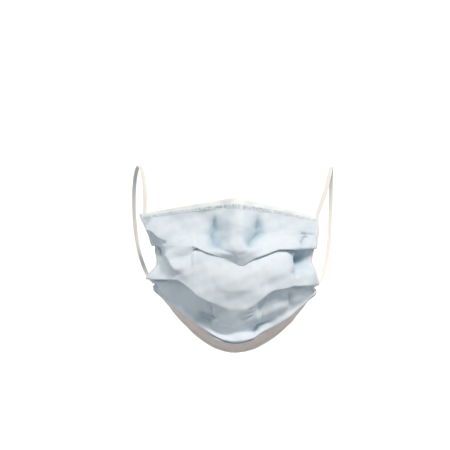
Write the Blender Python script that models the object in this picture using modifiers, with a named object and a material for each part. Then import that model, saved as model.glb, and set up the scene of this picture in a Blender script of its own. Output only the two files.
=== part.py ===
"""Pleated surgical face mask with two ear loops, in the open form that it takes when worn.

Metres, +Z up. The outer face looks along -Y and the wearer's side along +Y. The origin is on the
inner face of the top hem, at the middle, where the mask sits on the bridge of the nose.
"""

import math
from collections import namedtuple

import bmesh
import bpy
from mathutils import Vector

# Form of the worn sheet
HALF_SPAN = 0.071  # from the middle to a top corner, straight across
DROP = 0.119  # from the bridge of the nose down to the edge under the chin
SETBACK = 0.050  # from the bridge back to the top corners
NOSE_HEIGHT = 0.018  # how far the nose stands proud of the cheeks
NOSE_HALF_WIDTH = 0.012
DENT_DEPTH = 0.005
DENT_HALF_WIDTH = 0.006

# Pleats, hems and seams
PLEAT_DEPTH = 0.010  # height of a pleat's hidden layer
LAYER_PITCH = 0.0020  # from the middle of one folded layer to the next
WALL = 0.0010
HEM_WALL = 0.0016
HEM_SHARE = 0.17  # height of the top hem, as a share of the top panel
SEAM_WALL = 0.0012
SEAM_SHARE = 0.055  # width of a side seam, as a share of half the sheet
PIECE_GAP = 0.0003
SEAM_GAP = 0.0015  # between a seam and the sheet, as they turn together through the pleats

# Ear loops
LOOP_WIDTH = 0.0033
LOOP_STEP = 0.0045  # distance between the points of a loop's tube

# Mesh
COLUMNS = 18
SEAM_COLUMNS = 1
SMOOTHING = 1

# Lines that the sheet is folded along, from the top edge to the bottom edge. Drops are shares of DROP,
# outs of HALF_SPAN, backs of SETBACK and the nose of NOSE_HEIGHT and NOSE_HALF_WIDTH. A line keeps
# its middle drop up to rise_from and has its side drop from rise_to, both shares of its half length.
Fold = namedtuple(
    "Fold",
    "mid_drop left_drop right_drop left_out right_out mid_back side_back flatness "
    "rise_from rise_to rise_power nose nose_width",
)
TOP_EDGE = Fold(0.000, 0.106, 0.124, 1.025, 0.970, 0.130, 1.00, 1.35, 0.00, 1.00, 1.1, 0.40, 0.80)
FIRST_FOLD = Fold(0.430, 0.311, 0.331, 0.908, 0.930, -0.16, 0.82, 2.60, 0.00, 0.50, 1.0, 0.38, 1.60)
SECOND_FOLD = Fold(0.710, 0.529, 0.571, 0.955, 0.958, -0.28, 0.92, 2.50, 0.10, 0.66, 1.0, 0.00, 1.00)
THIRD_FOLD = Fold(0.933, 0.580, 0.605, 0.920, 0.930, -0.01, 0.88, 1.90, 0.00, 1.00, 1.6, 0.00, 1.00)
BOTTOM_EDGE = Fold(1.000, 0.605, 0.640, 0.820, 0.890, 0.260, 1.04, 1.80, 0.00, 1.00, 1.95, 0.00, 1.00)

# Lines across a panel between two folds. share runs from the upper fold, 0, to the lower one, 1, and
# the other columns are added to the straight way between them, in the units of Fold.
Line = namedtuple("Line", "share left_out right_out mid_back side_back nose nose_width")
HEM_LINE = Line(HEM_SHARE, 0.00, 0.00, 0.03, 0.00, 0.20, 0.85)
TOP_PANEL = (
    Line(0.45, -0.02, 0.00, 0.12, 0.00, 0.42, 0.90),
    Line(0.72, -0.01, 0.00, 0.14, 0.00, 0.70, 1.00),
    Line(0.88, 0.00, 0.00, 0.08, 0.00, 0.52, 1.20),
)
MIDDLE_PANEL = (
    Line(0.26, -0.04, -0.04, -0.10, -0.08, 0.0, 1.0),
    Line(0.53, -0.11, -0.09, -0.13, -0.16, 0.0, 1.0),
    Line(0.80, -0.05, -0.02, -0.10, -0.07, 0.0, 1.0),
)
LOWER_PANEL = (
    Line(0.40, 0.00, 0.00, 0.06, 0.00, 0.0, 1.0),
    Line(0.76, 0.00, 0.00, 0.12, 0.00, 0.0, 1.0),
)
BOTTOM_PANEL = (Line(0.55, 0.00, 0.00, 0.02, 0.00, 0.0, 1.0),)

# How far each pleat has opened, 0 shut and 1 flat, at these places along it
OPEN_AT = (-1.0, -0.7, -0.35, 0.0, 0.3, 0.7, 1.0)
LOST_WHEN_OPEN = 0.8  # share of the second hidden layer that an opened pleat gives to the panel below
Pleat = namedtuple("Pleat", "depth opened")
FIRST_PLEAT = Pleat(0.70, (0.00, 0.30, 0.10, 0.05, 0.00, 0.10, 0.00))
SECOND_PLEAT = Pleat(0.90, (0.00, 0.00, 0.20, 1.00, 0.10, 0.00, 0.00))
THIRD_PLEAT = Pleat(0.55, (0.00, 0.00, 0.00, 0.00, 0.00, 0.00, 0.00))

# Creases pressed into the cheeks where the loops draw the sides in. Places are shares of HALF_SPAN
# and DROP, depth and width of DENT_DEPTH and DENT_HALF_WIDTH.
Dent = namedtuple("Dent", "across_from drop_from across_to drop_to depth width")
DENTS = (
    Dent(-0.80, 0.26, -0.72, 0.34, 0.6, 0.7),
    Dent(-0.70, 0.40, -0.64, 0.50, 1.0, 0.9),
    Dent(0.74, 0.42, 0.68, 0.54, 1.0, 0.9),
)

# Routes of the ear loops: from the top corner up over the ear, down behind it and back to the lower
# corner. Hand-chosen points, in metres.
LEFT_ROUTE = (
    (-0.0690, 0.0499, -0.0168),
    (-0.0680, 0.0518, -0.0080),
    (-0.0683, 0.0590, 0.0080),
    (-0.0700, 0.0710, 0.0215),
    (-0.0725, 0.0850, 0.0260),
    (-0.0748, 0.0960, 0.0180),
    (-0.0760, 0.1000, 0.0020),
    (-0.0755, 0.0960, -0.0170),
    (-0.0735, 0.0860, -0.0350),
    (-0.0700, 0.0730, -0.0500),
    (-0.0650, 0.0590, -0.0620),
    (-0.0604, 0.0478, -0.0665),
)
RIGHT_ROUTE = (
    (0.0657, 0.0499, -0.0190),
    (0.0686, 0.0537, -0.0110),
    (0.0745, 0.0600, 0.0040),
    (0.0795, 0.0710, 0.0190),
    (0.0822, 0.0840, 0.0250),
    (0.0835, 0.0955, 0.0180),
    (0.0838, 0.1000, 0.0020),
    (0.0828, 0.0960, -0.0180),
    (0.0805, 0.0860, -0.0360),
    (0.0765, 0.0730, -0.0520),
    (0.0705, 0.0590, -0.0660),
    (0.0642, 0.0481, -0.0695),
)


def smooth_step(value):
    value = min(max(value, 0.0), 1.0)
    return value * value * (3 - 2 * value)


def opened(pleat, u):
    """Share of a pleat that has opened at u, eased between the places in OPEN_AT."""
    for i in range(len(OPEN_AT) - 1):
        if u <= OPEN_AT[i + 1]:
            break
    way = smooth_step((u - OPEN_AT[i]) / (OPEN_AT[i + 1] - OPEN_AT[i]))
    return pleat.opened[i] + (pleat.opened[i + 1] - pleat.opened[i]) * way


def nose_at(x, height, width):
    return NOSE_HEIGHT * height * math.exp(-((x / (NOSE_HALF_WIDTH * width)) ** 2))


def fold_point(fold, u):
    """Place on a fold line; u is -1 at the left side edge, 0 in the middle and 1 at the right one."""
    across = 0.5 * abs(u) + 0.5 * math.sin(math.pi / 2 * abs(u))
    out = fold.left_out if u < 0 else fold.right_out
    side_drop = fold.left_drop if u < 0 else fold.right_drop
    risen = min(max((across - fold.rise_from) / (fold.rise_to - fold.rise_from), 0.0), 1.0)
    x = math.copysign(across * out * HALF_SPAN, u)
    y = SETBACK * (fold.mid_back + (fold.side_back - fold.mid_back) * across**fold.flatness)
    z = -DROP * (fold.mid_drop + (side_drop - fold.mid_drop) * risen**fold.rise_power)
    return Vector((x, y - nose_at(x, fold.nose, fold.nose_width), z))


def line_point(line, above, below, u):
    """Place on a line across a panel, between the points above and below it in the same column."""
    point = above.lerp(below, line.share)
    out = line.left_out if u < 0 else line.right_out
    point.x += math.copysign(HALF_SPAN * out * u**4, u)
    point.y += SETBACK * (line.mid_back * (1 - u * u) + line.side_back * u**4)
    point.y -= nose_at(point.x, line.nose, line.nose_width)
    return point


def pleat_points(fold, pleat, u, above):
    """A pleat's places from its outer edge, up and down its hidden layers, to the next panel."""
    step = 0.01
    edge = fold_point(fold, u)
    along = (fold_point(fold, u + step) - fold_point(fold, u - step)).normalized()
    up = above - edge
    up = (up - up.dot(along) * along).normalized()
    inward = up.cross(along)
    turn = math.pi * opened(pleat, u)
    aside = LAYER_PITCH * (math.cos(turn / 2) * inward - math.sin(turn / 2) * up)
    depth = PLEAT_DEPTH * pleat.depth
    hidden = depth * (math.cos(turn) * up + math.sin(turn) * inward)
    back_down = depth * (1 - LOST_WHEN_OPEN * opened(pleat, u)) * up
    turned = edge + 2 * aside + hidden
    return [edge, edge + aside, edge + aside + hidden, turned, turned - back_down]


def dented(point, u):
    """The point moved in towards the face by the creases that pass near it."""
    step = 0.01
    along = fold_point(FIRST_FOLD, u + step) - fold_point(FIRST_FOLD, u - step)
    inward = Vector((-along.y, along.x, 0)).normalized()
    for dent in DENTS:
        start = Vector((dent.across_from * HALF_SPAN, -dent.drop_from * DROP))
        end = Vector((dent.across_to * HALF_SPAN, -dent.drop_to * DROP))
        way = end - start
        here = Vector((point.x, point.z))
        share = min(max((here - start).dot(way) / way.length_squared, 0.0), 1.0)
        away = (here - start - share * way).length / (DENT_HALF_WIDTH * dent.width)
        point = point + inward * DENT_DEPTH * dent.depth * math.exp(-(away**2))
    return point


def column(u):
    """All control points of the sheet in one column, by part: hem, panel and bottom hem."""
    top = fold_point(TOP_EDGE, u)
    first_edge = fold_point(FIRST_FOLD, u)
    hem_end = line_point(HEM_LINE, top, first_edge, u)
    points = [line_point(line, top, first_edge, u) for line in TOP_PANEL]
    first = pleat_points(FIRST_FOLD, FIRST_PLEAT, u, points[-1])
    points += first
    second_edge = fold_point(SECOND_FOLD, u)
    points += [line_point(line, first[-1], second_edge, u) for line in MIDDLE_PANEL]
    second = pleat_points(SECOND_FOLD, SECOND_PLEAT, u, points[-1])
    points += second
    third_edge = fold_point(THIRD_FOLD, u)
    points += [line_point(line, second[-1], third_edge, u) for line in LOWER_PANEL]
    third = pleat_points(THIRD_FOLD, THIRD_PLEAT, u, points[-1])
    points += third
    bottom = fold_point(BOTTOM_EDGE, u)
    last = [line_point(line, third[-1], bottom, u) for line in BOTTOM_PANEL]
    hem_middle = top.lerp(hem_end, 0.5)
    panel_start = hem_end + PIECE_GAP * (points[0] - hem_end).normalized()
    panel_end = third[-1] + LAYER_PITCH * (last[0] - third[-1]).normalized()
    hem_start = panel_end + PIECE_GAP * (last[0] - panel_end).normalized()
    return {
        "top_hem": [top, hem_middle, hem_end],
        "panel": [panel_start] + [dented(point, u) for point in points] + [panel_end],
        "bottom_hem": [hem_start] + last + [bottom],
    }


def seam_line(u):
    """Control points of a side seam in one column, from corner to corner through every pleat."""
    parts = column(u)
    hem_start = parts["bottom_hem"][0]
    return [parts["top_hem"][0], *parts["panel"][:-1], hem_start, parts["bottom_hem"][-1]]


def material(name, colour, roughness):
    made = bpy.data.materials.new(name)
    made.use_nodes = True
    shader = made.node_tree.nodes["Principled BSDF"]
    shader.inputs["Base Color"].default_value = (*colour, 1)
    shader.inputs["Roughness"].default_value = roughness
    shader.inputs["Metallic"].default_value = 0
    return made


def cloth(name, columns, wall, finish, collection):
    """A sheet through columns of control points, smoothed and given its wall."""
    cage = bmesh.new()
    bmesh.ops.create_grid(cage, x_segments=len(columns) - 1, y_segments=len(columns[0]) - 1, size=0.5)
    for vertex in cage.verts:
        i = round((vertex.co.x + 0.5) * (len(columns) - 1))
        j = round((0.5 - vertex.co.y) * (len(columns[0]) - 1))
        vertex.co = columns[i][j]
    mesh = bpy.data.meshes.new(name)
    cage.to_mesh(mesh)
    cage.free()
    mesh.shade_smooth()
    mesh.materials.append(finish)
    made = bpy.data.objects.new(name, mesh)
    collection.objects.link(made)
    smooth = made.modifiers.new("smooth", "SUBSURF")
    smooth.levels = SMOOTHING
    smooth.render_levels = SMOOTHING
    smooth.boundary_smooth = "PRESERVE_CORNERS"
    thick = made.modifiers.new("wall", "SOLIDIFY")
    thick.thickness = wall
    thick.offset = 0
    return made


def eased_route(points, step):
    """Points every step along a smooth curve through the route's own points."""
    ends = [2 * points[0] - points[1], *points, 2 * points[-1] - points[-2]]
    dense = []
    for before, start, end, after in zip(ends, ends[1:], ends[2:], ends[3:]):
        for i in range(20):
            t = i / 20
            dense.append(
                0.5
                * (
                    2 * start
                    + (end - before) * t
                    + (2 * before - 5 * start + 4 * end - after) * t**2
                    + (3 * start - before - 3 * end + after) * t**3
                )
            )
    dense.append(points[-1])
    length = sum((b - a).length for a, b in zip(dense, dense[1:]))
    count = max(round(length / step), 2)
    placed = [dense[0]]
    travelled = 0.0
    for a, b in zip(dense, dense[1:]):
        run = (b - a).length
        while len(placed) < count and travelled + run >= len(placed) * length / count:
            share = (len(placed) * length / count - travelled) / run
            placed.append(a.lerp(b, share))
        travelled += run
    placed.append(dense[-1])
    return placed


def ear_loop(name, route, finish, collection):
    points = eased_route([Vector(point) for point in route], LOOP_STEP)
    curve = bpy.data.curves.new(name, "CURVE")
    curve.dimensions = "3D"
    curve.bevel_depth = LOOP_WIDTH / 2
    curve.bevel_resolution = 2
    curve.use_fill_caps = True
    spline = curve.splines.new("POLY")
    spline.points.add(len(points) - 1)
    for place, point in zip(spline.points, points):
        place.co = (*point, 1)
    curve.materials.append(finish)
    made = bpy.data.objects.new(name, curve)
    collection.objects.link(made)
    return made


def build():
    for old in list(bpy.data.objects):
        bpy.data.objects.remove(old)
    collection = bpy.data.collections.new("surgical_face_mask")
    bpy.context.scene.collection.children.link(collection)
    blue = material("pale_blue_nonwoven", (0.63, 0.74, 0.81), 0.75)
    white = material("white_nonwoven", (0.86, 0.85, 0.84), 0.75)
    elastic = material("white_elastic", (0.86, 0.83, 0.81), 0.85)

    sheet_end = 1 - SEAM_SHARE
    columns = [column(sheet_end * (2 * i / COLUMNS - 1)) for i in range(COLUMNS + 1)]
    cloth("pleated_panel", [c["panel"] for c in columns], WALL, blue, collection)
    cloth("top_hem", [c["top_hem"] for c in columns], HEM_WALL, white, collection)
    cloth("bottom_hem", [c["bottom_hem"] for c in columns], HEM_WALL, white, collection)
    for name, side in (("side_seam_left", -1), ("side_seam_right", 1)):
        seam_start = sheet_end + SEAM_GAP / HALF_SPAN
        places = [seam_start + (1 - seam_start) * i / SEAM_COLUMNS for i in range(SEAM_COLUMNS + 1)]
        lines = [seam_line(side * place) for place in places]
        cloth(name, lines if side > 0 else lines[::-1], SEAM_WALL, white, collection)
    ear_loop("ear_loop_left", LEFT_ROUTE, elastic, collection)
    ear_loop("ear_loop_right", RIGHT_ROUTE, elastic, collection)


build()
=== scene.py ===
"""Looks of the pleated surgical face mask: fine cloth, welded hems and seams, and knitted ear loops.

Metres, +Z up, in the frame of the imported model: the outer face looks along -Y, and the origin is on
the inner face of the top hem, at the bridge of the nose.
"""

import math
from collections import namedtuple

import bpy
import numpy as np
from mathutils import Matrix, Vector


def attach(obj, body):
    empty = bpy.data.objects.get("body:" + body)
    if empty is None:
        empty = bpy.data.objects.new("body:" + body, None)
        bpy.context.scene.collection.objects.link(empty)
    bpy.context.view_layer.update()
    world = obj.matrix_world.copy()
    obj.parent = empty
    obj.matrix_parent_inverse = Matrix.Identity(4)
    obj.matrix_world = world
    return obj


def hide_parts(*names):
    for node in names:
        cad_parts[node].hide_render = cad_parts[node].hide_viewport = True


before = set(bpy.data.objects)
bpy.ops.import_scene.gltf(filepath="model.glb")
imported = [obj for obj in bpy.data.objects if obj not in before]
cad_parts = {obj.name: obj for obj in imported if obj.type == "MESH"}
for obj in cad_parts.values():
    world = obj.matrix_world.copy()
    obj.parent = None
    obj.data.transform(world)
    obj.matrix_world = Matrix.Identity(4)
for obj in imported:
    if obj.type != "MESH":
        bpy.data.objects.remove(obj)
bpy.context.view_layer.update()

# Form of the worn sheet, as the solids have it
HALF_SPAN = 0.071
DROP = 0.119
SETBACK = 0.050
NOSE_HEIGHT = 0.018
NOSE_HALF_WIDTH = 0.012
HEM_SHARE = 0.17
SEAM_SHARE = 0.055
LOOP_WIDTH = 0.0033

# Finer form, which the solids leave out
NOSE_X = 0.002  # where the worn mask's nose stands, to the right of the middle
NOSE_ROUNDNESS = 3.2  # 2 for a round back, more for a flat one with steep flanks
PANEL_END = 1 - 0.8 * SEAM_SHARE  # how far out the panel and the hems run, under the seams
SEAM_START = 1 - 1.15 * SEAM_SHARE  # where a seam starts, on top of the panel's end

# Cloth as it shows: three plies, thinner than the solids' walls
CLOTH_WALL = 0.00045
HEM_WALL = 0.0005
SEAM_WALL = 0.0010
PLEAT_DEPTH = 0.010
LAYER_PITCH = 0.0012
HEM_PROUD = 0.00004  # how far a hem lies in front of the panel that it holds
HEM_LAP = 0.0008  # how far the panel runs under a hem
TRIM_AND_HIGHLIGHT = 0.0011  # width of the white inner ply that shows where a hem is turned over, and of the painted highlight laid on that edge

# Weld dots, pressed by a toothed wheel in rows at these shares down a hem or across a seam
TOP_WELDS = (0.66, 0.79, 0.92)
BOTTOM_WELDS = (0.80,)
SEAM_WELDS = (0.22, 0.50, 0.78)
WELD_PITCH = 0.0014
WELD_DOT = 0.00048  # half the side of a weld dot
WELD_DEPTH = 0.00018
WELD_SIDES = 1.4  # more for dots with steeper sides
LIGHTEST_PRESS = 0.25  # strength of the lightest dot of a row, as a share of the strongest
WELD_AWAY = 0.013  # the dots show most this far from the nose's middle, where the hem bends
WELD_SPREAD = 0.009
WELD_LEAST = 0.6  # strength of the dots elsewhere, as a share of the most
SEAM_WELD_PITCH = 0.0017
SEAM_WELD_DOT = 0.00048
SEAM_WELD_STRENGTH = 0.7

# Fineness of the meshes
PANEL_STEP = 0.00095
HEM_STEP = 0.00030
SEAM_STEP = 0.00036
LOOP_STEP = 0.00028
COUNT_EASE = 0.001  # taken off a count of rows, so that an exact half doesn't hang on a last digit
COLUMN_RUN = 0.903 * HALF_SPAN  # width of cloth that the columns count for a unit of u
EDGE_STEP = 0.01  # step of u over which a fold's own direction is taken
FORM_STEP = 0.05  # step of u over which the direction of the broad form is taken

# Folds of the sheet, from the top edge to the bottom edge. A drop is a share of DROP, an out of
# HALF_SPAN and a back of SETBACK. The line bends back to the sides by the power of its flatness,
# and climbs between rise_from and rise_to, which are shares of the way to a side.
Fold = namedtuple(
    "Fold",
    "mid_drop left_drop right_drop left_out right_out mid_back side_back flatness "
    "rise_from rise_to rise_power nose nose_width",
)
TOP_EDGE = Fold(0.000, 0.106, 0.124, 1.025, 0.970, 0.130, 1.00, 1.35, 0.00, 1.00, 1.1, 0.40, 0.80)
FIRST_FOLD = Fold(0.430, 0.311, 0.331, 0.908, 0.930, -0.12, 0.82, 2.60, 0.00, 0.50, 1.0, 0.24, 1.50)
SECOND_FOLD = Fold(0.710, 0.529, 0.571, 0.955, 0.958, -0.28, 0.92, 2.90, 0.10, 0.66, 1.0, 0.00, 1.00)
THIRD_FOLD = Fold(0.920, 0.580, 0.615, 0.875, 0.930, -0.01, 0.88, 1.90, 0.00, 1.00, 1.6, 0.00, 1.00)
BOTTOM_EDGE = Fold(1.000, 0.605, 0.640, 0.820, 0.890, 0.260, 1.04, 1.80, 0.00, 1.00, 1.95, 0.00, 1.00)

# Short bends of a fold's line: where, how far down and forward, and over what half width, in metres
Bend = namedtuple("Bend", "x down forward width")
FIRST_BENDS = (
    Bend(0.0050, 0.0025, 0.0010, 0.0055),
    Bend(-0.0060, -0.0012, 0.0000, 0.0070),
)
SECOND_BENDS = (
    Bend(-0.0270, 0.0035, 0.0000, 0.0110),
    Bend(0.0260, -0.0042, 0.0000, 0.0110),
)
THIRD_BENDS = (Bend(0.0180, -0.0012, 0.0010, 0.0090),)

# Lines across a panel between two folds: how far down it, and how the line bulges, in the same shares
Line = namedtuple("Line", "share left_out right_out mid_back side_back nose nose_width")
HEM_LINE = Line(HEM_SHARE, 0.00, 0.00, 0.03, 0.00, 0.20, 0.85)
TOP_PANEL = (
    Line(0.30, -0.01, 0.00, 0.08, 0.00, 0.42, 0.90),
    Line(0.50, -0.02, 0.00, 0.12, 0.00, 0.66, 0.98),
    Line(0.70, -0.01, 0.00, 0.14, 0.00, 0.88, 1.00),
    Line(0.79, -0.01, 0.00, 0.10, 0.00, 0.80, 1.05),
    Line(0.87, 0.00, 0.00, 0.06, 0.00, 0.52, 1.30),
)
MIDDLE_PANEL = (
    Line(0.26, -0.02, -0.02, -0.07, -0.04, 0.0, 1.0),
    Line(0.53, -0.09, -0.03, -0.08, -0.05, 0.0, 1.0),
    Line(0.80, -0.05, 0.00, -0.03, -0.03, 0.0, 1.0),
)
LOWER_PANEL = (
    Line(0.40, -0.07, -0.02, 0.07, 0.10, 0.0, 1.0),
    Line(0.76, -0.02, 0.00, 0.12, 0.04, 0.0, 1.0),
)
BOTTOM_PANEL = (Line(0.55, 0.00, 0.00, 0.02, 0.00, 0.0, 1.0),)

# Pleats: their depth is a share of PLEAT_DEPTH, and their tuck, which is how far they go inward
# where they are open, a share of that depth. How far a pleat has opened, and how many times
# LAYER_PITCH its layers stand apart, are given at the places in PLEAT_AT.
PLEAT_AT = (-1.0, -0.85, -0.7, -0.5, -0.3, -0.15, 0.0, 0.1, 0.2, 0.35, 0.5, 0.64, 0.78, 0.9, 1.0)
TROUGH = 0.3  # how deep a half opened pleat is, as a share of its own depth
LOST_WHEN_OPEN = 0.8  # share of the second hidden layer that an opened pleat gives to the panel below
Pleat = namedtuple("Pleat", "depth tuck opened apart")
FIRST_PLEAT = Pleat(
    depth=0.70,
    tuck=0.45,
    opened=(0.0, 0.7, 1.0, 0.8, 0.1, 0.0, 0.0, 0.0, 0.0, 0.0, 0.1, 0.0, 0.0, 0.0, 0.0),
    apart=(1.0, 0.9, 0.8, 0.35, 0.2, 0.25, 0.5, 1.0, 1.3, 1.1, 1.0, 2.6, 3.6, 1.4, 1.0),
)
SECOND_PLEAT = Pleat(
    depth=0.90,
    tuck=0.60,
    opened=(0.0, 0.0, 0.0, 0.0, 0.20, 0.80, 1.0, 0.90, 0.5, 0.04, 0.0, 0.0, 0.0, 0.0, 0.0),
    apart=(1.8, 1.8, 1.7, 1.7, 1.5, 1.7, 2.2, 1.9, 1.4, 1.7, 1.8, 1.8, 1.8, 1.9, 1.8),
)
THIRD_PLEAT = Pleat(
    depth=0.55,
    tuck=0.0,
    opened=(0.0,) * len(PLEAT_AT),
    apart=(1.0, 1.1, 1.2, 1.3, 1.3, 1.1, 1.0, 1.0, 1.0, 1.2, 1.3, 1.3, 1.2, 1.1, 1.0),
)

# Lines that a pleat turns along, as shares of the step to its next layer and of its hidden depth
PLEAT_TURNS = ((0, 0), (0.2, 0), (1, 0.1), (1, 0.5), (1, 1), (1.5, 1.05), (2, 1))

# The panel from the top down: the lines of each part, and the fold and pleat that it ends in
PLEATED_PARTS = (
    (TOP_PANEL, FIRST_FOLD, FIRST_BENDS, FIRST_PLEAT),
    (MIDDLE_PANEL, SECOND_FOLD, SECOND_BENDS, SECOND_PLEAT),
    (LOWER_PANEL, THIRD_FOLD, THIRD_BENDS, THIRD_PLEAT),
)

# Soft swellings and hollows of the cloth, in metres: place, half sizes, turn in degrees, height
PAINTED_SHADE_DEPTH = 0.0085  # painted shade is darkest where the cloth is pushed in this deep
Puff = namedtuple("Puff", "x z half_x half_z turn height")
PUFFS = (
    Puff(0.0020, -0.0215, 0.0036, 0.0130, 0, 0.0020),
    Puff(-0.0600, -0.0380, 0.0060, 0.0100, 0, -0.0026),
    Puff(0.0545, -0.0475, 0.0065, 0.0070, 10, -0.0060),
    Puff(0.0350, -0.0835, 0.0170, 0.0045, 24, 0.0034),
    Puff(0.0300, -0.0560, 0.0160, 0.0090, 0, 0.0018),
    Puff(-0.0050, -0.0640, 0.0140, 0.0080, 10, 0.0012),
    Puff(0.0020, -0.0770, 0.0100, 0.0050, 0, -0.0010),
    Puff(0.0035, -0.1070, 0.0130, 0.0031, 6, 0.0070),
    Puff(0.0280, -0.0960, 0.0120, 0.0040, 22, 0.0012),
    Puff(0.0600, -0.0590, 0.0055, 0.0070, 0, 0.0034),
)

# Creases: the line that each follows, its height, and how fast it falls off on the line's left and
# right, looking along it. All in metres, places as (x, z).
CREASE_FADE = 0.25  # share of a crease's length over which it fades at each end
CREASE_FALL = 1.15  # 1 for a knife edge, 2 for a rounded one
Crease = namedtuple("Crease", "line height left right")
CREASES = (
    Crease(((-0.0670, -0.0235), (-0.0590, -0.0262), (-0.0520, -0.0345)), 0.0060, 0.0070, 0.0014),
    Crease(((-0.0525, -0.0400), (-0.0475, -0.0500), (-0.0430, -0.0590)), 0.0038, 0.0070, 0.0010),
    Crease(
        ((-0.0150, -0.0115), (-0.0215, -0.0285), (-0.0190, -0.0364), (-0.0083, -0.0410)),
        -0.0068,
        0.0085,
        0.0014,
    ),
    Crease(
        ((0.0170, -0.0115), (0.0225, -0.0275), (0.0128, -0.0350), (0.0070, -0.0405)),
        -0.0070,
        0.0014,
        0.0085,
    ),
    Crease(
        ((-0.0320, -0.0380), (-0.0180, -0.0405), (-0.0100, -0.0425), (0.0060, -0.0440)),
        0.0031,
        0.0080,
        0.0040,
    ),
    Crease(((0.0520, -0.0275), (0.0650, -0.0292)), -0.0016, 0.0009, 0.0012),
    Crease(((0.0600, -0.0290), (0.0530, -0.0385)), -0.0042, 0.0012, 0.0034),
    Crease(((0.0540, -0.0450), (0.0495, -0.0530), (0.0465, -0.0630)), -0.0046, 0.0014, 0.0040),
    Crease(
        (
            (-0.0157, -0.0404),
            (-0.0082, -0.0412),
            (-0.0020, -0.0432),
            (0.0036, -0.0432),
            (0.0114, -0.0398),
        ),
        -0.0014,
        0.0012,
        0.0009,
    ),
    Crease(((-0.0290, -0.0860), (-0.0140, -0.0925)), -0.0036, 0.0012, 0.0034),
    Crease(((-0.0270, -0.0905), (-0.0180, -0.0940)), -0.0018, 0.0010, 0.0020),
    Crease(((0.0070, -0.0852), (0.0165, -0.0830)), -0.0012, 0.0008, 0.0012),
    Crease(((0.0045, -0.0890), (0.0160, -0.0858)), -0.0014, 0.0008, 0.0012),
    Crease(((0.0030, -0.0935), (0.0140, -0.0890)), -0.0014, 0.0008, 0.0012),
    Crease(((0.0090, -0.0982), (0.0320, -0.0938)), -0.0034, 0.0016, 0.0050),
    Crease(((0.0430, -0.0700), (0.0420, -0.0780), (0.0430, -0.0850)), -0.0024, 0.0012, 0.0026),
    Crease(((-0.0180, -0.0700), (0.0000, -0.0708), (0.0160, -0.0702)), 0.0006, 0.0030, 0.0010),
)

# Slight unevenness of thin cloth: height and length of the waves, several of each in all directions
RIPPLES = ((0.00028, 0.034), (0.00016, 0.017), (0.00007, 0.0085))
WAVES_OF_EACH = 4

# Routes of the ear loops: the solids' own points, with the upper ends drawn onto the seams
LEFT_ROUTE = (
    (-0.0698, 0.0489, -0.0168),
    (-0.0680, 0.0518, -0.0080),
    (-0.0683, 0.0590, 0.0080),
    (-0.0700, 0.0710, 0.0215),
    (-0.0725, 0.0850, 0.0260),
    (-0.0748, 0.0960, 0.0180),
    (-0.0760, 0.1000, 0.0020),
    (-0.0755, 0.0960, -0.0170),
    (-0.0735, 0.0860, -0.0350),
    (-0.0700, 0.0730, -0.0500),
    (-0.0650, 0.0590, -0.0620),
    (-0.0604, 0.0478, -0.0665),
)
RIGHT_ROUTE = (
    (0.0663, 0.0491, -0.0190),
    (0.0686, 0.0537, -0.0110),
    (0.0745, 0.0600, 0.0040),
    (0.0795, 0.0710, 0.0190),
    (0.0822, 0.0840, 0.0250),
    (0.0835, 0.0955, 0.0180),
    (0.0838, 0.1000, 0.0020),
    (0.0828, 0.0960, -0.0180),
    (0.0805, 0.0860, -0.0360),
    (0.0765, 0.0730, -0.0520),
    (0.0705, 0.0590, -0.0660),
    (0.0642, 0.0481, -0.0695),
)
ROUTE_PIECES = 40  # straight pieces that stand for the curve between two points of a route

# Section of the knitted band, whose core, ribs and stitches are shares of its thickness
LOOP_THICKNESS = 0.0011
LOOP_RIBS = 5
SIDES_A_RIB = 8
SQUARENESS = 0.8  # 1 for an oval section, less for one with fuller sides
BAND_CORE = 0.85
RIB_RELIEF = 0.14
STITCH_RELIEF = 0.10
STITCH_PITCH = 0.0009
LOOP_WELD = 0.0045  # length at each end of a loop that is pressed flat onto the seam
WELD_WIDER = 0.35  # how much wider a pressed end is, as a share of the band's width
WELD_THINNER = 0.95  # how much thinner it is

# Cloths in linear colours: the web's darkest and lightest, and the colour where each mask is 1
Cloth = namedtuple("Cloth", "name dark light masks")
BLUE_CLOTH = Cloth(
    "blue_cloth",
    (0.68, 0.757, 0.828),
    (0.74, 0.797, 0.858),
    # the colour of this mask is painted shade, laid on the cloth where it is pushed in
    {"hollow": (0.33, 0.47, 0.57)},
)
HEM_CLOTH = Cloth(
    "hem_cloth",
    (0.80, 0.855, 0.88),
    (0.84, 0.885, 0.905),
    # the last colour is the white inner ply of the turned edge, lightened and warmed as a painted
    # highlight
    {"weld": (0.13, 0.19, 0.27), "trim": (0.93, 0.90, 0.87)},
)
# The bottom band's pale cloth is tinted pink-brown by painted warm light reflected up onto it under the
# chin; its welds and trim share that painted warmth.
BOTTOM_CLOTH_WARM_PAINTED_LIGHT = Cloth(
    "bottom_cloth_painted_warm_light",
    (0.80, 0.675, 0.62),
    (0.86, 0.74, 0.69),
    # the last colour is the white inner ply of the turned edge, warmed as a painted highlight
    {"weld": (0.48, 0.44, 0.43), "trim": (0.92, 0.86, 0.80)},
)
SEAM_CLOTH = Cloth(
    "seam_cloth",
    (0.80, 0.82, 0.83),
    (0.86, 0.88, 0.89),
    {"weld": (0.28, 0.34, 0.40)},
)
CLOTH_ROUGHNESS = 0.78
CLOTH_SPECULAR = 0.3
CLOTH_SHEEN = 0.12
CLOTH_RELIEF = 0.0002
CLOTH_BUMP = 0.35
CLOUD_SCALE = 210
FIBRE_SCALE = 2600
BOND_PITCH = 0.0016
BOND_EDGE = 0.35  # how softly a bond point ends, 0 for a sharp edge
BOND_SHARE = 0.6  # relief of the bond points, as a share of the fibres'

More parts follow.
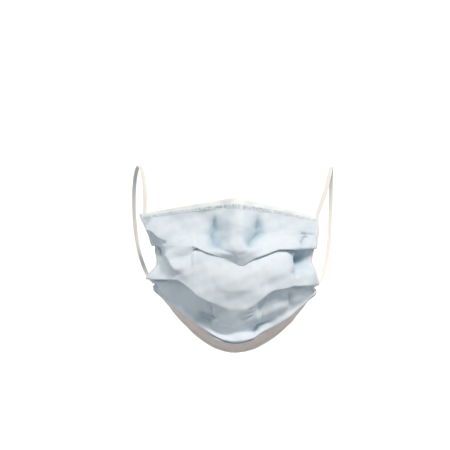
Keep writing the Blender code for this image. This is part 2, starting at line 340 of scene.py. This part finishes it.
# Elastane yarn
YARN_DARK = (0.74, 0.70, 0.66)
YARN_LIGHT = (0.88, 0.86, 0.83)
YARN_ROUGHNESS = 0.85
YARN_SHEEN = 0.25
YARN_RELIEF = 0.0001
YARN_BUMP = 0.4
YARN_SCALE = 5200

# Photograph's view
VIEW_TURN = math.radians(3.5)
VIEW_DISTANCE = 1.6
VIEW_CENTRE = (-0.0084, 0.010, -0.021)  # across the view, along it, and up
LENS_MM = 167

# Studio: a paper sweep, darker below the mask than behind it, and lights from the upper right,
# the front and both sides, with two more on the sweep's wall
FLOOR_Z = -0.46
FLOOR_FRONT = -2.4
WALL_Y = 2.5
WALL_TOP = 2.2
SWEEP_RADIUS = 0.5
SWEEP_HALF_WIDTH = 2.5
SWEEP_ANGLES = np.linspace(0.1, 1.5, 15)  # places on the curve from floor to wall, in radians
SWEEP_GRADES = ((0.0, (0.46, 0.48, 0.50)), (0.6, (0.93, 0.93, 0.93)))
SWEEP_ROUGHNESS = 0.9
SKY = (0.42, 0.84, 0.97)
SKY_STRENGTH = 0.085
MASK_MIDDLE = (0, 0, -0.05)
WHITE = (1, 1, 1)
Light = namedtuple("Light", "name place target size power colour")
LIGHTS = (
    Light("key", (0.17, -1.18, 1.12), MASK_MIDDLE, 0.45, 25.2, (1.0, 0.925, 0.85)),
    Light("front", (0.1, -1.9, 0.15), MASK_MIDDLE, 0.8, 2.8, (0.92, 0.97, 1.0)),
    Light("wall_left", (-1.1, 1.45, 0.9), (-0.3, WALL_Y, 0.0), 0.7, 18, WHITE),
    Light("wall_right", (1.1, 1.45, 0.9), (0.3, WALL_Y, 0.0), 0.7, 18, WHITE),
    Light("side_left", (-1.20, 0.25, 0.62), MASK_MIDDLE, 0.8, 7.6, WHITE),
    Light("side_right", (1.20, 0.25, 0.62), MASK_MIDDLE, 0.8, 7.6, WHITE),
)


def smooth_step(value):
    """0 up to 0, 1 from 1 on, and eased in between."""
    value = np.clip(value, 0.0, 1.0)
    return value * value * (3 - 2 * value)


def along_pleat(values, u):
    """A pleat's value at u, eased between the places in PLEAT_AT."""
    places = np.array(PLEAT_AT)
    values = np.array(values)
    index = np.clip(np.searchsorted(places, u, side="left") - 1, 0, len(places) - 2)
    way = smooth_step((u - places[index]) / (places[index + 1] - places[index]))
    return values[index] + (values[index + 1] - values[index]) * way


def nose_at(x, height, width):
    """How far the nose stands out, with a flat back between steep flanks."""
    away = np.abs(x - NOSE_X) / (NOSE_HALF_WIDTH * width)
    return NOSE_HEIGHT * height * np.exp(-(away**NOSE_ROUNDNESS))


def fold_line(fold, u, bends=()):
    """Places on a fold's line; u is -1 at the left side edge, 0 in the middle and 1 at the right."""
    across = 0.5 * np.abs(u) + 0.5 * np.sin(math.pi / 2 * np.abs(u))
    out = np.where(u < 0, fold.left_out, fold.right_out)
    side_drop = np.where(u < 0, fold.left_drop, fold.right_drop)
    risen = np.clip((across - fold.rise_from) / (fold.rise_to - fold.rise_from), 0, 1)
    x = np.sign(u) * across * out * HALF_SPAN
    y = SETBACK * (fold.mid_back + (fold.side_back - fold.mid_back) * across**fold.flatness)
    y = y - nose_at(x, fold.nose, fold.nose_width)
    z = -DROP * (fold.mid_drop + (side_drop - fold.mid_drop) * risen**fold.rise_power)
    for bend in bends:
        near = np.exp(-(((x - bend.x) / bend.width) ** 2))
        y = y - bend.forward * near
        z = z - bend.down * near
    return np.stack([x, y, z], axis=-1)


def panel_line(line, above, below, u):
    """Places on a line across a panel, between the lines above and below it."""
    points = above + (below - above) * line.share
    out = np.where(u < 0, line.left_out, line.right_out)
    points[:, 0] += np.sign(u) * HALF_SPAN * out * u**4
    points[:, 1] += SETBACK * (line.mid_back * (1 - u * u) + line.side_back * u**4)
    points[:, 1] -= nose_at(points[:, 0], line.nose, line.nose_width)
    return points


def unit(vectors):
    return vectors / np.linalg.norm(vectors, axis=-1, keepdims=True)


def pleat_lines(fold, bends, pleat, u, above):
    """The lines that a pleat turns along, from its outer edge to where the next panel starts."""
    edge = fold_line(fold, u, bends)
    along = unit(fold_line(fold, u + EDGE_STEP, bends) - fold_line(fold, u - EDGE_STEP, bends))
    up = above - edge
    up = unit(up - np.sum(up * along, axis=-1, keepdims=True) * along)
    inward = np.cross(up, along)
    turn = (math.pi * along_pleat(pleat.opened, u))[:, None]
    pitch = (LAYER_PITCH * along_pleat(pleat.apart, u))[:, None]
    tuck = pleat.tuck * (1 - np.cos(turn)) / 2 * inward
    aside = pitch * (np.cos(turn / 2) * inward - np.sin(turn / 2) * (up - tuck))
    depth = PLEAT_DEPTH * pleat.depth
    hidden = depth * (np.cos(turn) * up + TROUGH * np.sin(turn) * inward + tuck)
    back_down = depth * (1 - LOST_WHEN_OPEN * turn / math.pi) * (up - tuck)
    lines = [edge + steps * aside + share * hidden for steps, share in PLEAT_TURNS]
    return [*lines, lines[-1] - 0.5 * back_down, lines[-1] - back_down]


def sheet_lines(u):
    """Control lines of the sheet from edge to edge, by part: top hem, panel and bottom hem."""
    top = fold_line(TOP_EDGE, u)
    bottom = fold_line(BOTTOM_EDGE, u)
    hem_end = panel_line(HEM_LINE, top, fold_line(FIRST_FOLD, u, FIRST_BENDS), u)
    panel = [hem_end + HEM_LAP * unit(top - hem_end)]
    start = top
    for lines, fold, bends, pleat in PLEATED_PARTS:
        edge = fold_line(fold, u, bends)
        panel += [panel_line(line, start, edge, u) for line in lines]
        panel += pleat_lines(fold, bends, pleat, u, panel[-1])
        start = panel[-1]
    last = [panel_line(line, start, bottom, u) for line in BOTTOM_PANEL]
    return {
        "top_hem": [top, (top + hem_end) / 2, hem_end],
        "panel": panel,
        "bottom_hem": [panel[-2], panel[-1], *last, bottom],
    }


def spline_rows(lines, step):
    """Rows along a cubic B-spline through the control lines, about step apart."""
    lines = [2 * lines[0] - lines[1], *lines, 2 * lines[-1] - lines[-2]]
    rows = []
    for before, start, end, after in zip(lines, lines[1:], lines[2:], lines[3:]):
        run = np.linalg.norm(end - start, axis=-1).mean()
        count = max(round(run / step - COUNT_EASE), 2)
        t = (np.arange(count) / count)[:, None, None]
        row = before * (1 - t) ** 3 + start * (3 * t**3 - 6 * t**2 + 4)
        row = row + end * (-3 * t**3 + 3 * t**2 + 3 * t + 1) + after * t**3
        rows.append(row / 6)
    rows.append(lines[-2][None])
    return np.concatenate(rows)


def outward_at(u):
    """Level direction outward, square to the broad form of the sheet."""
    along = fold_line(FIRST_FOLD, u + FORM_STEP) - fold_line(FIRST_FOLD, u - FORM_STEP)
    return unit(np.stack([along[:, 1], -along[:, 0], np.zeros(len(u))], axis=-1))


def puff_height(puff, x, z):
    """Height of a swelling, falling off like a bell along and across its own direction."""
    turn = math.radians(puff.turn)
    along = (x - puff.x) * math.cos(turn) + (z - puff.z) * math.sin(turn)
    square = (z - puff.z) * math.cos(turn) - (x - puff.x) * math.sin(turn)
    return puff.height * np.exp(-((along / puff.half_x) ** 2) - (square / puff.half_z) ** 2)


def crease_height(crease, x, z):
    """Height of a crease, tapered to its ends and falling off on each side at its own rate."""
    nearest = np.full(x.shape, np.inf)
    height = np.zeros(x.shape)
    spans = len(crease.line) - 1
    for i, (start, end) in enumerate(zip(crease.line, crease.line[1:])):
        dx = end[0] - start[0]
        dz = end[1] - start[1]
        length = math.hypot(dx, dz)
        share = np.clip(((x - start[0]) * dx + (z - start[1]) * dz) / length**2, 0, 1)
        away = np.hypot(x - start[0] - share * dx, z - start[1] - share * dz)
        side = dx * (z - start[1]) - dz * (x - start[0])
        fall = np.where(side > 0, crease.left, crease.right)
        way = (i + share) / spans
        taper = smooth_step(np.minimum(way, 1 - way) / CREASE_FADE)
        here = crease.height * taper * np.exp(-((away / fall) ** CREASE_FALL))
        closer = away < nearest
        nearest = np.where(closer, away, nearest)
        height = np.where(closer, here, height)
    return height


def ripple(x, z):
    """Sum of the ripples at the places, each with a direction and a phase drawn at random."""
    waves = np.random.default_rng(7)
    height = np.zeros(x.shape)
    for size, wave in RIPPLES:
        for _ in range(WAVES_OF_EACH):
            angle = waves.uniform(0, math.pi)
            phase = waves.uniform(0, 2 * math.pi)
            way = x * math.cos(angle) + z * math.sin(angle)
            height = height + size * np.sin(2 * math.pi * way / wave + phase)
    return height


def wrinkles(points):
    """Heights of the swellings and creases at the points, one array for each."""
    x = points[..., 0]
    z = points[..., 2]
    heights = [puff_height(puff, x, z) for puff in PUFFS]
    heights += [crease_height(crease, x, z) for crease in CREASES]
    return np.array(heights)


def wrinkled(points, u):
    """The rows moved along the outward direction by the swellings, creases and ripples."""
    height = ripple(points[..., 0], points[..., 2]) + wrinkles(points).sum(axis=0)
    return points + height[..., None] * outward_at(u)[None]


def hollows(points):
    """Mask of painted shade: 1 in the deepest hollows, where thin cloth stands off and less light comes
    back through it.
    """
    depth = -np.minimum(wrinkles(points), 0).sum(axis=0)
    return np.clip(depth / PAINTED_SHADE_DEPTH, 0, 1)


def column_places(start, end, step):
    """Places across the sheet from start to end, about step apart."""
    count = max(round(abs(end - start) * COLUMN_RUN / step), 4)
    return np.linspace(start, end, count + 1)


def linked(made):
    bpy.context.scene.collection.objects.link(made)
    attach(made, "root")
    return made


def flat_places(points):
    """How far each column lies across the flat cloth, and each row down it."""
    across = np.linalg.norm(np.diff(points, axis=1), axis=-1).mean(axis=0)
    down = np.linalg.norm(np.diff(points, axis=0), axis=-1).mean(axis=1)
    return np.concatenate([[0], np.cumsum(across)]), np.concatenate([[0], np.cumsum(down)])


def grid_object(name, points, finish, around=False, **masks):
    """A sheet of quads over a grid of points, with its place on the flat cloth kept as an attribute."""
    rows, columns = points.shape[:2]
    index = np.arange(rows * columns).reshape(rows, columns)
    if around:
        index = np.concatenate([index, index[:, :1]], axis=1)
    corners = (index[:-1, :-1], index[1:, :-1], index[1:, 1:], index[:-1, 1:])
    quads = np.stack(corners, axis=-1).reshape(-1, 4)
    mesh = bpy.data.meshes.new(name)
    mesh.from_pydata(points.reshape(-1, 3).tolist(), [], quads.tolist())
    across, down = flat_places(points)
    flat = np.zeros((rows, columns, 3))
    flat[..., 0] = across[None]
    flat[..., 1] = down[:, None]
    mesh.attributes.new("cloth", "FLOAT_VECTOR", "POINT").data.foreach_set("vector", flat.ravel())
    for kind, values in masks.items():
        mesh.attributes.new(kind, "FLOAT", "POINT").data.foreach_set("value", values.ravel())
    mesh.shade_smooth()
    mesh.materials.append(finish)
    return linked(bpy.data.objects.new(name, mesh))


def thickened(made, wall):
    """The sheet given a wall, half of it on each side."""
    thick = made.modifiers.new("wall", "SOLIDIFY")
    thick.thickness = wall
    thick.offset = 0
    thick.use_even_offset = False
    return made


def new_material(name):
    made = bpy.data.materials.new(name)
    made.use_nodes = True
    return made, made.node_tree, made.node_tree.nodes["Principled BSDF"]


def math_node(tree, operation, first, second=None):
    """Output of a math node, whose inputs are numbers or other nodes' outputs."""
    node = tree.nodes.new("ShaderNodeMath")
    node.operation = operation
    for socket, value in zip(node.inputs, (first, second)):
        if isinstance(value, (int, float)):
            socket.default_value = value
        elif value is not None:
            tree.links.new(value, socket)
    return node.outputs[0]


def noise_node(tree, place, scale, detail):
    node = tree.nodes.new("ShaderNodeTexNoise")
    node.inputs["Scale"].default_value = scale
    node.inputs["Detail"].default_value = detail
    tree.links.new(place, node.inputs["Vector"])
    return node.outputs["Fac"]


def colour_ramp(tree, value, stops):
    """The value turned into a colour between two stops, each a place and its colour."""
    node = tree.nodes.new("ShaderNodeValToRGB")
    elements = node.color_ramp.elements
    for element, (place, colour) in zip(elements, stops):
        element.position = place
        element.color = (*colour, 1)
    tree.links.new(value, node.inputs["Fac"])
    return node.outputs["Color"]


def bond_points(tree, place):
    """Height of the small diamonds that bond a spunbond web, 1 between them and 0 in them."""
    split = tree.nodes.new("ShaderNodeSeparateXYZ")
    tree.links.new(place, split.inputs[0])
    turns = math.pi / BOND_PITCH
    total = math_node(tree, "ADD", split.outputs["X"], split.outputs["Y"])
    difference = math_node(tree, "SUBTRACT", split.outputs["X"], split.outputs["Y"])
    first = math_node(tree, "COSINE", math_node(tree, "MULTIPLY", total, turns))
    second = math_node(tree, "COSINE", math_node(tree, "MULTIPLY", difference, turns))
    peak = math_node(tree, "MULTIPLY", first, second)
    return math_node(tree, "SUBTRACT", 1.0, math_node(tree, "SMOOTH_MAX", peak, BOND_EDGE))


def mixed_in(tree, colour, mask_name, other):
    """The colour, with another one where the mesh's mask says so."""
    mask = tree.nodes.new("ShaderNodeAttribute")
    mask.attribute_name = mask_name
    mix = tree.nodes.new("ShaderNodeMix")
    mix.data_type = "RGBA"
    tree.links.new(mask.outputs["Fac"], mix.inputs["Factor"])
    tree.links.new(colour, mix.inputs["A"])
    mix.inputs["B"].default_value = (*other, 1)
    return mix.outputs["Result"]


def bumped(tree, shader, height, strength, distance):
    """The shader's normal tilted by a height map."""
    relief = tree.nodes.new("ShaderNodeBump")
    relief.inputs["Strength"].default_value = strength
    relief.inputs["Distance"].default_value = distance
    tree.links.new(height, relief.inputs["Height"])
    tree.links.new(relief.outputs["Normal"], shader.inputs["Normal"])


def nonwoven(cloth):
    """Spunbond cloth: bond points, loose fibres and a cloudy web."""
    made, tree, shader = new_material(cloth.name)
    attribute = tree.nodes.new("ShaderNodeAttribute")
    attribute.attribute_name = "cloth"
    place = attribute.outputs["Vector"]
    cloudy = noise_node(tree, place, CLOUD_SCALE, detail=4)
    colour = colour_ramp(tree, cloudy, ((0.30, cloth.dark), (0.70, cloth.light)))
    for mask_name, other in cloth.masks.items():
        colour = mixed_in(tree, colour, mask_name, other)
    tree.links.new(colour, shader.inputs["Base Color"])
    shader.inputs["Roughness"].default_value = CLOTH_ROUGHNESS
    shader.inputs["Specular IOR Level"].default_value = CLOTH_SPECULAR
    shader.inputs["Sheen Weight"].default_value = CLOTH_SHEEN
    fibres = noise_node(tree, place, FIBRE_SCALE, detail=3)
    bonds = math_node(tree, "MULTIPLY", bond_points(tree, place), BOND_SHARE)
    bumped(tree, shader, math_node(tree, "ADD", bonds, fibres), CLOTH_BUMP, CLOTH_RELIEF)
    return made


def knit(name):
    """White elastane yarn with a little fuzz."""
    made, tree, shader = new_material(name)
    place = tree.nodes.new("ShaderNodeTexCoord").outputs["Object"]
    fuzz = noise_node(tree, place, YARN_SCALE, detail=3)
    colour = colour_ramp(tree, fuzz, ((0.3, YARN_DARK), (0.7, YARN_LIGHT)))
    tree.links.new(colour, shader.inputs["Base Color"])
    shader.inputs["Roughness"].default_value = YARN_ROUGHNESS
    shader.inputs["Sheen Weight"].default_value = YARN_SHEEN
    bumped(tree, shader, fuzz, YARN_BUMP, YARN_RELIEF)
    return made


def panel(finish):
    """The blue sheet with its three pleats, with painted shade in its hollows."""
    u = column_places(-PANEL_END, PANEL_END, PANEL_STEP)
    smooth = spline_rows(sheet_lines(u)["panel"], PANEL_STEP)
    # the mask carries the painted shade of the hollows
    sheet = grid_object("pleated_cloth", wrinkled(smooth, u), finish, hollow=hollows(smooth))
    made = thickened(sheet, CLOTH_WALL)
    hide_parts("pleated_panel")
    return made


def weld_rows(along, down, rows, pitch, half_side, strength):
    """1 inside small dots that a welding wheel presses, in rows at these shares down the strip."""
    mark = np.zeros((len(down), len(along)))
    presses = np.random.default_rng(11)
    for i, share in enumerate(rows):
        shifted = along + 0.5 * pitch * (i % 2)
        dot = (shifted // pitch).astype(int)
        pressed = presses.uniform(LIGHTEST_PRESS, 1.0, dot.max() + 1)[dot] * strength
        away_along = np.abs(shifted % pitch - pitch / 2)[None]
        away_down = np.abs(down - share * down[-1])[:, None]
        inside = np.maximum(away_along, away_down) / half_side
        mark = np.maximum(mark, pressed[None] * smooth_step(2 - WELD_SIDES * inside))
    return mark


def weld_strength(x):
    """Strength of a hem's dots, most on both flanks of the nose."""
    away = np.abs(x - NOSE_X) - WELD_AWAY
    return WELD_LEAST + (1 - WELD_LEAST) * np.exp(-((away / WELD_SPREAD) ** 2))


def trimmed(down, at_top):
    """1 on the turned edge of a hem, where the white inner ply shows and a painted highlight lies on
    the edge.
    """
    away = down if at_top else down[-1] - down
    return smooth_step(1.5 - away / TRIM_AND_HIGHLIGHT)


def hem(name, node, finish, rows, at_top):
    """A welded band along the sheet's top or bottom edge, turned over at that edge."""
    u = column_places(-PANEL_END, PANEL_END, HEM_STEP)
    points = wrinkled(spline_rows(sheet_lines(u)[node], HEM_STEP), u)
    along, down = flat_places(points)
    mark = weld_rows(along, down, rows, WELD_PITCH, WELD_DOT, weld_strength(points[0, :, 0]))
    outward = outward_at(u)[None]
    points = points + outward * (HEM_PROUD - WELD_DEPTH * mark)[..., None]
    # the turned edge: white inner ply with a painted highlight on it
    trim = np.repeat(trimmed(down, at_top)[:, None], len(u), axis=1)
    made = thickened(grid_object(name, points, finish, weld=mark, trim=trim), HEM_WALL)
    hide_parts(node)
    return made


def seam(name, node, side, finish):
    """A welded strip down one side, over the ends of the panel and the hems; side is -1 or 1."""
    u = side * column_places(SEAM_START, 1, SEAM_STEP)
    if side < 0:
        u = u[::-1]
    parts = sheet_lines(u)
    lines = [parts["top_hem"][0], *parts["panel"][1:-1], *parts["bottom_hem"]]
    points = wrinkled(spline_rows(lines, SEAM_STEP), u)
    across, down = flat_places(points)
    mark = weld_rows(down, across, SEAM_WELDS, SEAM_WELD_PITCH, SEAM_WELD_DOT, SEAM_WELD_STRENGTH).T
    points = points - outward_at(u)[None] * WELD_DEPTH * mark[..., None]
    made = thickened(grid_object(name, points, finish, weld=mark), SEAM_WALL)
    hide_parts(node)
    return made


def eased_route(points, step):
    """Points every step along a smooth curve through the route's own points."""
    points = np.array(points)
    ends = np.concatenate([[2 * points[0] - points[1]], points, [2 * points[-1] - points[-2]]])
    t = (np.arange(ROUTE_PIECES) / ROUTE_PIECES)[:, None]
    dense = []
    for before, start, end, after in zip(ends, ends[1:], ends[2:], ends[3:]):
        curve = 2 * start + (end - before) * t + (2 * before - 5 * start + 4 * end - after) * t**2
        dense.append(0.5 * (curve + (3 * start - before - 3 * end + after) * t**3))
    dense = np.concatenate([*dense, points[-1:]])
    travelled = np.concatenate([[0], np.cumsum(np.linalg.norm(np.diff(dense, axis=0), axis=1))])
    count = max(round(travelled[-1] / step), 2)
    places = np.linspace(0, travelled[-1], count + 1)
    return np.stack([np.interp(places, travelled, dense[:, i]) for i in range(3)], axis=-1)


def pressed_ends(travelled):
    """0 along the free band, rising to 1 at its two ends."""
    from_end = np.minimum(travelled, travelled[-1] - travelled)
    return smooth_step(1 - from_end / LOOP_WELD)


def band_section(travelled):
    """Half the band's width and thickness at each point around its section, along the band."""
    sides = SIDES_A_RIB * LOOP_RIBS
    angle = np.arange(sides) * 2 * math.pi / sides
    across = LOOP_WIDTH / 2 * np.sign(np.cos(angle)) * np.abs(np.cos(angle)) ** SQUARENESS
    press = pressed_ends(travelled)[:, None]
    rib = np.cos(across / LOOP_WIDTH * 2 * math.pi * LOOP_RIBS)
    stitch = np.cos(2 * math.pi * travelled / STITCH_PITCH)
    lobe = RIB_RELIEF * rib[None] + STITCH_RELIEF * rib[None] * stitch[:, None]
    deep = LOOP_THICKNESS / 2 * np.sin(angle)[None] * (BAND_CORE + lobe)
    return across[None] * (1 + WELD_WIDER * press), deep * (1 - WELD_THINNER * press)


def ear_loop(name, node, route, finish):
    """A flat knitted band along its route, its width level and its ribs along it."""
    path = eased_route(route, LOOP_STEP)
    along = unit(np.gradient(path, axis=0))
    wide = unit(np.array([1.0, 0.0, 0.0]) - along * along[:, :1])
    thin = np.cross(along, wide)
    across, deep = band_section(np.arange(len(path)) * LOOP_STEP)
    points = path[:, None] + wide[:, None] * across[..., None] + thin[:, None] * deep[..., None]
    made = grid_object(name, points, finish, around=True)
    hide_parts(node)
    return made


def camera():
    """The photograph's view, a little from the left and level."""
    right = Vector((math.cos(VIEW_TURN), -math.sin(VIEW_TURN), 0))
    ahead = Vector((math.sin(VIEW_TURN), math.cos(VIEW_TURN), 0))
    data = bpy.data.cameras.new("camera")
    data.lens = LENS_MM
    made = bpy.data.objects.new("camera", data)
    middle = VIEW_CENTRE[0] * right + VIEW_CENTRE[1] * ahead + Vector((0, 0, VIEW_CENTRE[2]))
    made.location = middle - VIEW_DISTANCE * ahead
    made.rotation_euler = (math.pi / 2, 0, -VIEW_TURN)
    bpy.context.scene.collection.objects.link(made)
    bpy.context.scene.camera = made


def area_light(light):
    """A round soft light that the camera doesn't see."""
    data = bpy.data.lights.new(light.name, "AREA")
    data.shape = "DISK"
    data.size = light.size
    data.energy = light.power
    data.color = light.colour
    made = bpy.data.objects.new(light.name, data)
    made.location = light.place
    towards = Vector(light.target) - Vector(light.place)
    made.rotation_euler = towards.to_track_quat("-Z", "Y").to_euler()
    made.visible_camera = False
    bpy.context.scene.collection.objects.link(made)


def paper(name):
    """Matt paper whose colour goes from the first grade to the second on its way back."""
    made, tree, shader = new_material(name)
    split = tree.nodes.new("ShaderNodeSeparateXYZ")
    tree.links.new(tree.nodes.new("ShaderNodeTexCoord").outputs["Object"], split.inputs[0])
    tree.links.new(colour_ramp(tree, split.outputs["Y"], SWEEP_GRADES), shader.inputs["Base Color"])
    shader.inputs["Roughness"].default_value = SWEEP_ROUGHNESS
    return made


def sweep_profile():
    """Section of the sweep as (y, z): the floor, a curve and the wall."""
    curve_y = WALL_Y - SWEEP_RADIUS
    curve_z = FLOOR_Z + SWEEP_RADIUS
    profile = [(FLOOR_FRONT, FLOOR_Z), (curve_y, FLOOR_Z)]
    for angle in SWEEP_ANGLES:
        y = curve_y + SWEEP_RADIUS * math.sin(angle)
        z = curve_z - SWEEP_RADIUS * math.cos(angle)
        profile.append((y, z))
    return [*profile, (WALL_Y, WALL_TOP)]


def sweep():
    """The paper sweep below and behind the mask."""
    profile = sweep_profile()
    points = [(x, y, z) for y, z in profile for x in (-SWEEP_HALF_WIDTH, SWEEP_HALF_WIDTH)]
    quads = [(2 * i, 2 * i + 1, 2 * i + 3, 2 * i + 2) for i in range(len(profile) - 1)]
    mesh = bpy.data.meshes.new("sweep")
    mesh.from_pydata(points, [], quads)
    mesh.shade_smooth()
    mesh.materials.append(paper("sweep_paper"))
    made = bpy.data.objects.new("sweep", mesh)
    bpy.context.scene.collection.objects.link(made)


def studio():
    """The sweep, a faint sky and the lights."""
    sweep()
    world = bpy.data.worlds.new("studio")
    world.use_nodes = True
    world.node_tree.nodes["Background"].inputs["Color"].default_value = (*SKY, 1)
    world.node_tree.nodes["Background"].inputs["Strength"].default_value = SKY_STRENGTH
    bpy.context.scene.world = world
    for light in LIGHTS:
        area_light(light)


def colours():
    """Plain colours, so that the pale cloth and the paper keep the values that the light gives."""
    bpy.context.scene.view_settings.view_transform = "Standard"
    bpy.context.scene.view_settings.look = "None"


def build():
    camera()
    elastic = knit("elastic_yarn")
    ear_loop("elastic_left", "ear_loop_left", LEFT_ROUTE, elastic)
    ear_loop("elastic_right", "ear_loop_right", RIGHT_ROUTE, elastic)
    edge = nonwoven(SEAM_CLOTH)
    top = hem("top_band", "top_hem", nonwoven(HEM_CLOTH), TOP_WELDS, at_top=True)
    # the bottom band's colours hold painted warm reflected light
    bottom = hem("bottom_band", "bottom_hem", nonwoven(BOTTOM_CLOTH_WARM_PAINTED_LIGHT), BOTTOM_WELDS, at_top=False)
    left = seam("left_edge", "side_seam_left", -1, edge)
    right = seam("right_edge", "side_seam_right", 1, edge)
    cloth = panel(nonwoven(BLUE_CLOTH))
    studio()
    colours()


build()
